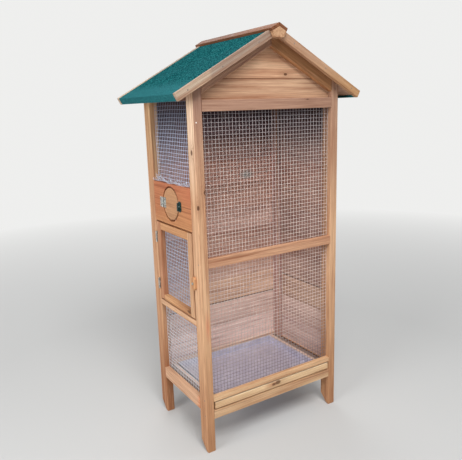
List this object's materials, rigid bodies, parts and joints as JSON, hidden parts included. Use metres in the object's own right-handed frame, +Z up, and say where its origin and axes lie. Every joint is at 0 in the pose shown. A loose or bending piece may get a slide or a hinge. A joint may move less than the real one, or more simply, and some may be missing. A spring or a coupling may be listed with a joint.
{
  "type": "aviary",
  "caption": "Tall wooden aviary on four legs with a felted gable roof, welded mesh front and flank, boarded back and side, a mesh door, a round hatch and a slide-out tray.",
  "frame": {"origin": "on the ground under the middle of the whole outline", "axes": "+Z up, the mesh front faces -Y, the flank with the door and the hatch faces -X"},
  "size_m": [0.719, 0.483, 1.3967],
  "materials": {
    "honey_pine": "satin stain over planed softwood",
    "red_pine": "satin stain over planed softwood",
    "stained_pine": "dark stain over planed softwood",
    "green_felt": "mineral felt",
    "galvanised_wire": "galvanised",
    "zinc_sheet": "galvanised sheet",
    "zinc_plated_steel": "bright zinc plate",
    "green_plastic": "gloss"
  },
  "bodies": {
    "housing": {"front_left_post": "honey_pine", "front_right_post": "honey_pine", "rear_left_post": "honey_pine", "rear_right_post": "honey_pine", "top_rails": "honey_pine", "front_mid_rail": "honey_pine", "front_tray_rail": "honey_pine", "front_base_rail": "honey_pine", "rear_base_rail": "honey_pine", "left_base_rail": "honey_pine", "right_base_rail": "honey_pine", "door_sill": "honey_pine", "flank_top_rails": "honey_pine", "rear_wall": "honey_pine", "right_wall": "honey_pine", "gable_boards": "honey_pine", "rafters": "honey_pine", "roof_panels": "honey_pine", "roof_felt": "green_felt", "barge_boards": "honey_pine", "ridge_beam": "honey_pine", "ridge_cap": "stained_pine", "hatch_board": "red_pine", "hatch_board_leaf": "zinc_plated_steel", "door_frame_leaves": "zinc_plated_steel", "fastener_pins": "zinc_plated_steel", "front_mesh_uprights": "galvanised_wire", "front_mesh_crosswires": "galvanised_wire", "lower_mesh_uprights": "galvanised_wire", "lower_mesh_crosswires": "galvanised_wire", "upper_mesh_uprights": "galvanised_wire", "upper_mesh_crosswires": "galvanised_wire", "tray_runners": "honey_pine", "tray_guides": "honey_pine"},
    "side_door": {"door_stiles": "honey_pine", "door_rails": "honey_pine", "door_leaves": "zinc_plated_steel", "door_mesh_uprights": "galvanised_wire", "door_mesh_crosswires": "galvanised_wire"},
    "hatch": {"hatch_disc": "red_pine", "hatch_disc_leaf": "zinc_plated_steel"},
    "button": {"door_button": "honey_pine"},
    "thumb_turn": {"hatch_catch": "green_plastic"},
    "tray": {"tray_front": "honey_pine", "tray_pan": "zinc_sheet"}
  },
  "joints": [
    {"name": "side_door_hinge", "type": "hinge", "parent": "housing", "child": "side_door", "pos_m": [-0.2896, 0.1195, 0.6165], "axis": [0, 0, -1], "range_deg": [0, 110]},
    {"name": "hatch_hinge", "type": "hinge", "parent": "housing", "child": "hatch", "pos_m": [-0.2884, 0.0515, 0.838], "axis": [0, 0, -1], "range_deg": [0, 110]},
    {"name": "door_button_turn", "type": "hinge", "parent": "housing", "child": "button", "pos_m": [-0.291, -0.1585, 0.6], "axis": [1, 0, 0], "range_deg": [0, 90]},
    {"name": "hatch_catch_turn", "type": "hinge", "parent": "housing", "child": "thumb_turn", "pos_m": [-0.288, -0.0755, 0.838], "axis": [1, 0, 0], "range_deg": [0, 90]},
    {"name": "tray_slide", "type": "slide", "parent": "housing", "child": "tray", "axis": [0, -1, 0], "range_m": [0, 0.28]}
  ]
}
